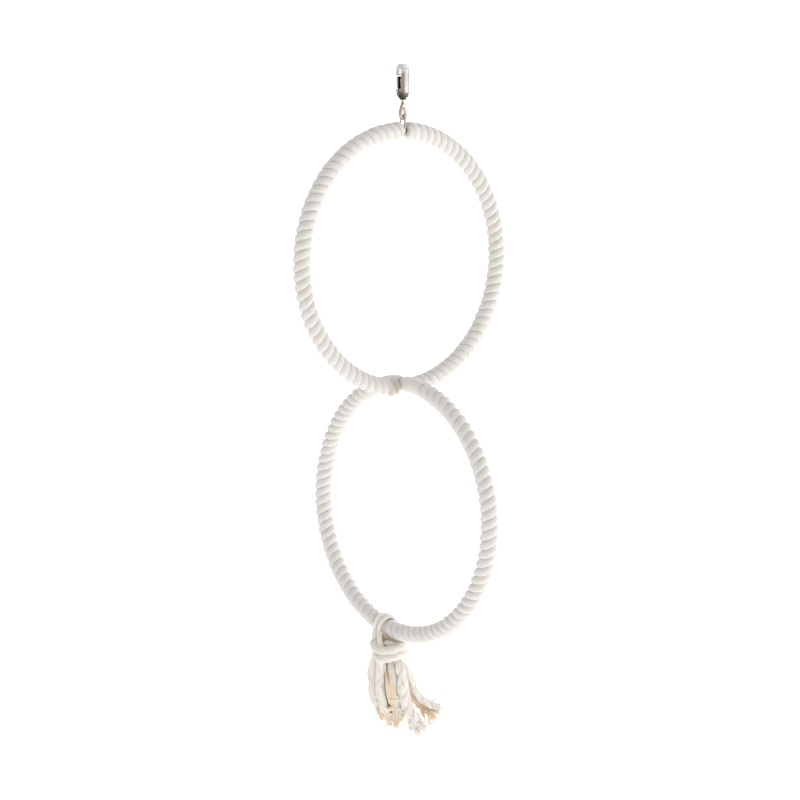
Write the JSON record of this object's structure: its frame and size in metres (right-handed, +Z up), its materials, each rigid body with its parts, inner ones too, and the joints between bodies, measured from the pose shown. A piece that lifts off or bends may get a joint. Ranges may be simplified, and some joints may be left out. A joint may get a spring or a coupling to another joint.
{
  "type": "rope ring bird swing",
  "caption": "Hanging bird swing: rope-wound wire hoops linked at right angles, with a rope tassel below and a swivel snap hook above to clip on a cage bar.",
  "frame": {"origin": "on the inside of the snap hook's crown, above the swivel, where a cage bar bears", "axes": "+Z up along the hanging line; the upper hoop lies in the XZ plane and the lower hoop in YZ"},
  "size_m": [0.2004, 0.2002, 0.496],
  "materials": {
    "nickel": "bright nickel plate",
    "hoop_steel": "plain wire",
    "spring_steel": "drawn wire",
    "cotton_rope": "soft twisted cotton rope",
    "band_cotton": "smooth cotton wrapping",
    "tan_fibre": "loose tan plant fibre"
  },
  "bodies": {
    "hook": {"snap_hook_body": "nickel", "gate_pin": "nickel", "gate_spring": "spring_steel"},
    "gate": {"snap_hook_gate": "nickel"},
    "swivel": {"swivel_eye": "nickel"},
    "hanger": {"hanger_loop": "nickel"},
    "upper_ring": {"upper_hoop": "hoop_steel", "upper_winding_left": "cotton_rope", "upper_winding_right": "cotton_rope"},
    "lower_ring": {"lower_hoop": "hoop_steel", "lower_winding": "cotton_rope", "joint_band_near": "band_cotton", "joint_band_far": "band_cotton"},
    "tassel": {"hitch_rope_left": "cotton_rope", "hitch_rope_right": "cotton_rope", "knot_binding": "cotton_rope", "tail_left_outer": "cotton_rope", "tail_left_front": "cotton_rope", "tail_left_tan": "tan_fibre", "tail_middle": "cotton_rope", "tail_middle_tan": "tan_fibre", "tail_front": "cotton_rope", "tail_right": "cotton_rope", "tail_back": "cotton_rope"}
  },
  "joints": [
    {"name": "gate_hinge", "type": "hinge", "parent": "hook", "child": "gate", "pos_m": [0, 0.0029, -0.01658], "axis": [1, 0, 0], "range_deg": [0, 19], "stiffness_Nm_per_rad": 0.01, "deforming": ["gate_spring"]},
    {"name": "swivel_turn", "type": "hinge", "parent": "hook", "child": "swivel", "pos_m": [0, 0, -0.02258], "axis": [0, 0, 1], "continuous": true},
    {"name": "hanger_tilt", "type": "hinge", "parent": "swivel", "child": "hanger", "pos_m": [0, 0, -0.03358], "axis": [0, 1, 0], "range_deg": [-15, 15]},
    {"name": "upper_ring_swing", "type": "hinge", "parent": "hanger", "child": "upper_ring", "pos_m": [0, 0, -0.04453], "axis": [1, 0, 0], "range_deg": [-40, 40]},
    {"name": "lower_ring_swing", "type": "hinge", "parent": "upper_ring", "child": "lower_ring", "pos_m": [0, 0, -0.23203], "axis": [1, 0, 0], "range_deg": [-35, 35]},
    {"name": "tassel_swing", "type": "hinge", "parent": "lower_ring", "child": "tassel", "pos_m": [0, 0.02034, -0.4145], "axis": [0, 0.9762, 0.2169], "range_deg": [-40, 40]}
  ]
}
